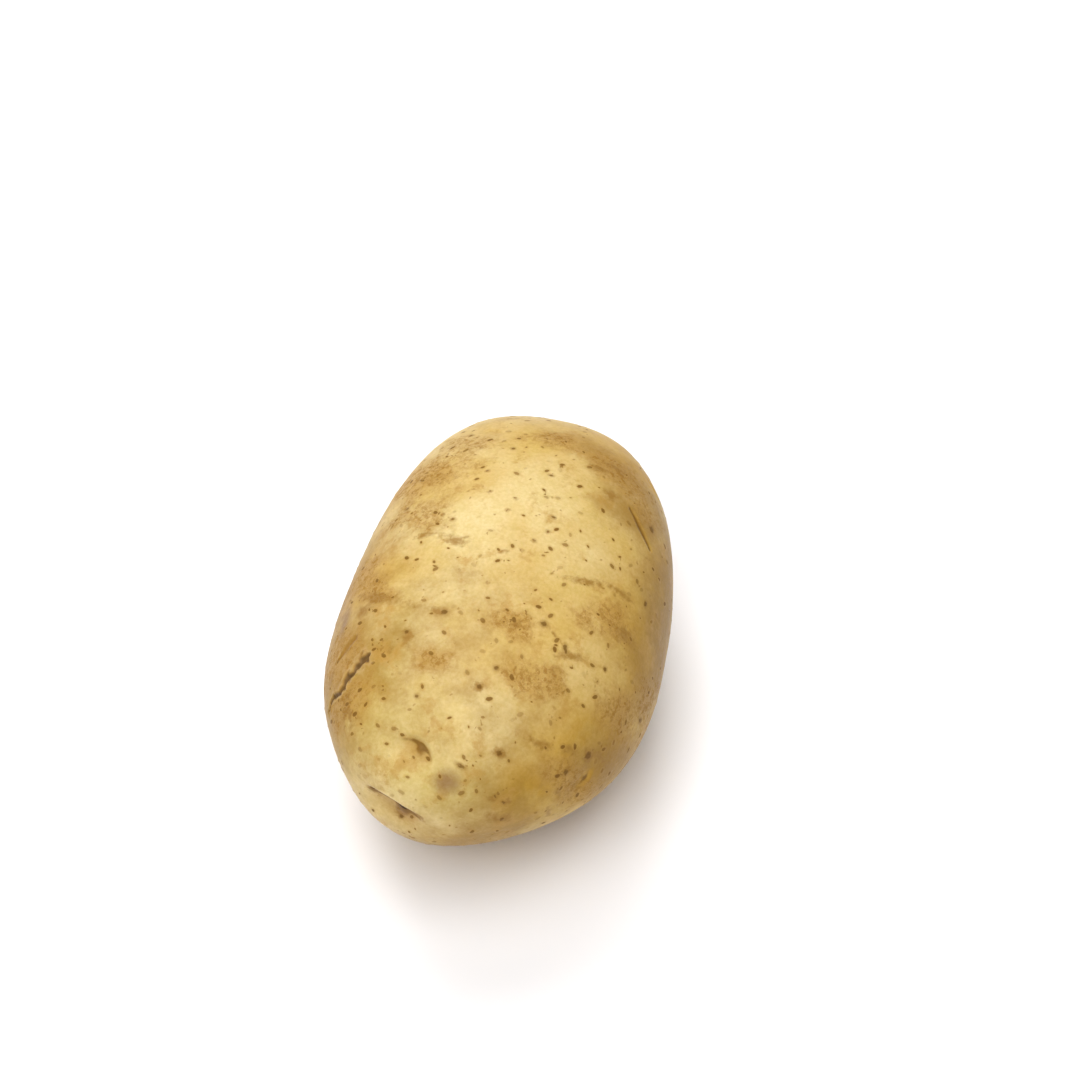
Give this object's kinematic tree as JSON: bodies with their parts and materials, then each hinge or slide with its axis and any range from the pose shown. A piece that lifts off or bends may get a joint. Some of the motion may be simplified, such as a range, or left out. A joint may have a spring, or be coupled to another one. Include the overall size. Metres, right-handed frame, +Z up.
{
  "type": "potato",
  "caption": "Whole raw table potato, a rounded oblong tuber with shallow eyes, lying on a small flat spot.",
  "frame": {"origin": "on the surface that the potato lies on, under the middle of its box", "axes": "+Z up; +Y along the length towards the stem end, so the bud end, where the eyes crowd together, points to -Y; +X across the width"},
  "size_m": [0.066, 0.1, 0.057],
  "materials": {
    "skin": "thin washed skin, pale yellow to golden, softly glossy, with brown pores, russet netting and a faint green blush at the bud end"
  },
  "bodies": {
    "root": {"potato": "skin"}
  },
  "joints": []
}
